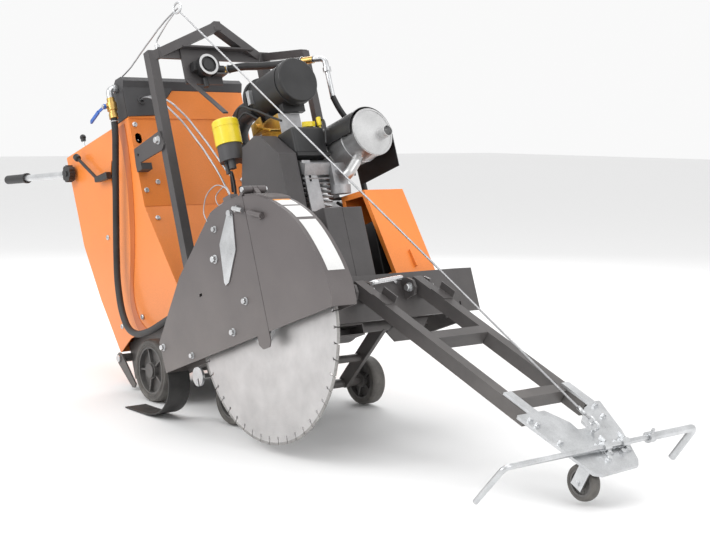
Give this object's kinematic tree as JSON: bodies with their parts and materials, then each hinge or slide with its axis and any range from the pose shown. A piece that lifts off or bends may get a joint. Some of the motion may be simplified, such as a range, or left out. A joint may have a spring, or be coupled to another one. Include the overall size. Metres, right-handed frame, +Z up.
{
  "type": "walk-behind concrete saw",
  "caption": "Engine-driven walk-behind saw with side blade under a hinged guard, orange rear cowl, lifting bail, raised chassis on a lift cradle and a long fold-down pointer arm.",
  "frame": {"origin": "on the floor, at the middle of the overall bounding box footprint", "axes": "+X forward toward the pointer, +Y to the machine left, +Z up; the blade is on the right, -Y"},
  "size_m": [2.916, 0.7954, 1.2598],
  "materials": {
    "orange_paint": "semi-gloss orange powder coat",
    "charcoal_paint": "satin dark grey powder coat",
    "guard_paint": "satin warm grey powder coat",
    "black_plastic": "moulded black plastic",
    "cap_grey": "moulded dark grey plastic",
    "cast_metal": "as cast",
    "alloy": "cast and machined alloy",
    "zinc": "bright zinc plate",
    "blade_steel": "ground steel",
    "black_rubber": "smooth black rubber",
    "tyre_rubber": "solid tyre rubber",
    "brass": "turned brass",
    "yellow_plastic": "yellow plastic and paint",
    "blue_plastic": "blue dipped grip",
    "red_plastic": "red plastic",
    "label_white": "blank printed film",
    "rope_steel": "stranded wire rope"
  },
  "bodies": {
    "chassis": {"main_frame": "charcoal_paint", "rear_cowl": "orange_paint", "cowl_cap": "cap_grey", "control_console": "black_plastic", "lifting_bail": "charcoal_paint", "fuel_tank": "black_plastic", "battery": "black_plastic", "front_shroud": "orange_paint", "front_belt_cover": "charcoal_paint", "engine_block": "alloy", "valve_covers": "black_plastic", "blower_housing": "charcoal_paint", "belt_side_guard": "charcoal_paint", "air_cleaner": "black_plastic", "carburetor_linkage": "alloy", "muffler": "zinc", "muffler_heat_shield": "charcoal_paint", "oil_filter": "yellow_plastic", "cast_housings": "cast_metal", "v_belts": "black_rubber", "water_pipes": "brass", "water_hoses": "black_rubber", "water_regulator": "black_plastic", "top_beam": "charcoal_paint", "control_cables": "rope_steel", "fasteners": "zinc", "guard_rear": "guard_paint", "splash_flap": "black_rubber", "pointer_rope": "rope_steel"},
    "blade_spindle": {"blade": "blade_steel", "blade_shaft": "zinc"},
    "crank": {"crank_fan_pulley": "cast_metal"},
    "rear_wheels": {"rear_tyres": "tyre_rubber", "rear_axle": "cast_metal"},
    "front_cradle": {"front_cradle": "charcoal_paint"},
    "front_wheel_right": {"front_wheel_right": "tyre_rubber"},
    "front_wheel_left": {"front_wheel_left": "tyre_rubber"},
    "lift_rod": {"lift_rod": "zinc"},
    "guard_front": {"guard_front": "guard_paint", "guard_labels": "label_white"},
    "guard_latch": {"guard_latch_plate": "zinc"},
    "pointer_arm": {"pointer_frame": "charcoal_paint", "pointer_plate": "zinc"},
    "pointer_wheel": {"pointer_wheel": "tyre_rubber"},
    "pointer_rod": {"pointer_rod": "zinc"},
    "pointer_extension": {"pointer_extension": "zinc"},
    "handlebar_right": {"handlebar_right": "black_rubber"},
    "handlebar_left": {"handlebar_left": "black_rubber"},
    "lock_knob_right": {"lock_knob_right": "black_plastic"},
    "lock_knob_left": {"lock_knob_left": "black_plastic"},
    "speed_lever": {"speed_lever": "black_plastic"},
    "throttle_lever": {"throttle_lever": "black_plastic"},
    "water_valve_handle": {"water_valve_handle": "blue_plastic"},
    "rear_guide": {"rear_guide_plate": "charcoal_paint"},
    "stop_button": {"stop_button": "red_plastic"},
    "ignition_key": {"ignition_key": "zinc"},
    "oil_filler_cap": {"oil_filler_cap": "yellow_plastic"},
    "dipstick": {"dipstick": "yellow_plastic"},
    "fuel_cap": {"fuel_cap": "black_plastic"}
  },
  "joints": [
    {"name": "blade_spin", "type": "hinge", "parent": "chassis", "child": "blade_spindle", "pos_m": [0.54639, 0.01475, 0.35303], "axis": [0, 1, 0], "continuous": true},
    {"name": "crank_spin", "type": "hinge", "parent": "chassis", "child": "crank", "pos_m": [0.25261, 0.01475, 0.51108], "axis": [0, 1, 0], "continuous": true},
    {"name": "rear_wheel_roll", "type": "hinge", "parent": "chassis", "child": "rear_wheels", "pos_m": [-0.20435, 0.01475, 0.1], "axis": [0, 1, 0], "continuous": true},
    {"name": "cradle_lift", "type": "hinge", "parent": "chassis", "child": "front_cradle", "pos_m": [0.40902, 0.01475, 0.286], "axis": [0, 1, 0], "range_deg": [0, 31]},
    {"name": "front_wheel_right_roll", "type": "hinge", "parent": "front_cradle", "child": "front_wheel_right", "pos_m": [0.22582, -0.22825, 0.07885], "axis": [0, 1, 0], "continuous": true},
    {"name": "front_wheel_left_roll", "type": "hinge", "parent": "front_cradle", "child": "front_wheel_left", "pos_m": [0.22582, 0.25775, 0.07885], "axis": [0, 1, 0], "continuous": true},
    {"name": "lift_rod_slide", "type": "slide", "parent": "chassis", "child": "lift_rod", "axis": [0.9397, 0, 0.342], "range_m": [0, 0.0305]},
    {"name": "guard_front_hinge", "type": "hinge", "parent": "chassis", "child": "guard_front", "pos_m": [0.49434, -0.34525, 0.70654], "axis": [0, -1, 0], "range_deg": [0, 90]},
    {"name": "guard_latch_pivot", "type": "hinge", "parent": "chassis", "child": "guard_latch", "pos_m": [0.44113, -0.38575, 0.63929], "axis": [0, -1, 0], "range_deg": [0, 40]},
    {"name": "pointer_fold", "type": "hinge", "parent": "chassis", "child": "pointer_arm", "pos_m": [0.71672, 0.01475, 0.44056], "axis": [0, -1, 0], "range_deg": [0, 115], "deforming": ["pointer_rope"]},
    {"name": "pointer_wheel_roll", "type": "hinge", "parent": "pointer_arm", "child": "pointer_wheel", "pos_m": [1.40021, -0.02725, 0.05393], "axis": [0, 1, 0], "continuous": true},
    {"name": "pointer_rod_slide", "type": "slide", "parent": "pointer_arm", "child": "pointer_rod", "axis": [0, 1, 0], "range_m": [-0.02, 0.08]},
    {"name": "pointer_extension_slide", "type": "slide", "parent": "pointer_rod", "child": "pointer_extension", "axis": [0, 1, 0], "range_m": [-0.02, 0.05]},
    {"name": "handlebar_right_slide", "type": "slide", "parent": "chassis", "child": "handlebar_right", "axis": [-0.9973, 0, -0.0732], "range_m": [0, 0.12]},
    {"name": "handlebar_left_slide", "type": "slide", "parent": "chassis", "child": "handlebar_left", "axis": [-0.9973, 0, -0.0732], "range_m": [0, 0.12]},
    {"name": "lock_knob_right_turn", "type": "hinge", "parent": "chassis", "child": "lock_knob_right", "pos_m": [-0.83077, -0.23525, 0.70207], "axis": [0, -1, 0], "range_deg": [0, 180]},
    {"name": "lock_knob_left_turn", "type": "hinge", "parent": "chassis", "child": "lock_knob_left", "pos_m": [-0.83077, 0.26475, 0.70207], "axis": [0, 1, 0], "range_deg": [0, 180]},
    {"name": "speed_lever_pivot", "type": "hinge", "parent": "chassis", "child": "speed_lever", "pos_m": [-0.40214, -0.20425, 0.71653], "axis": [0, 1, 0], "range_deg": [-16, 16]},
    {"name": "throttle_lever_pivot", "type": "hinge", "parent": "chassis", "child": "throttle_lever", "pos_m": [-0.84086, -0.15525, 0.72606], "axis": [0, 1, 0], "range_deg": [-15, 15]},
    {"name": "water_valve_turn", "type": "hinge", "parent": "chassis", "child": "water_valve_handle", "pos_m": [-0.48619, -0.27525, 0.93283], "axis": [0, -1, 0], "range_deg": [0, 90]},
    {"name": "rear_guide_pivot", "type": "hinge", "parent": "chassis", "child": "rear_guide", "pos_m": [-0.49141, -0.22225, 0.09342], "axis": [0, -1, 0], "range_deg": [0, 60]},
    {"name": "stop_button_press", "type": "slide", "parent": "chassis", "child": "stop_button", "axis": [0.342, 0, -0.9397], "range_m": [0, 0.006]},
    {"name": "ignition_key_turn", "type": "hinge", "parent": "chassis", "child": "ignition_key", "pos_m": [-0.63858, 0.07475, 0.82522], "axis": [-0.342, 0, 0.9397], "range_deg": [0, 90]},
    {"name": "oil_filler_cap_turn", "type": "hinge", "parent": "chassis", "child": "oil_filler_cap", "pos_m": [0.25815, 0.00875, 0.86427], "axis": [-0.1039, 0, 0.9946], "range_deg": [0, 90]},
    {"name": "dipstick_pull", "type": "slide", "parent": "chassis", "child": "dipstick", "axis": [-0.342, 0, 0.9397], "range_m": [0, 0.08]},
    {"name": "fuel_cap_turn", "type": "hinge", "parent": "chassis", "child": "fuel_cap", "pos_m": [-0.63858, -0.10525, 0.82522], "axis": [-0.342, 0, 0.9397], "range_deg": [0, 90]}
  ],
  "couplings": [
    {"joint": "crank_spin", "follows": "blade_spin", "ratio": 1.2889},
    {"joint": "lift_rod_slide", "follows": "cradle_lift", "m_per_rad": 0.0543}
  ]
}
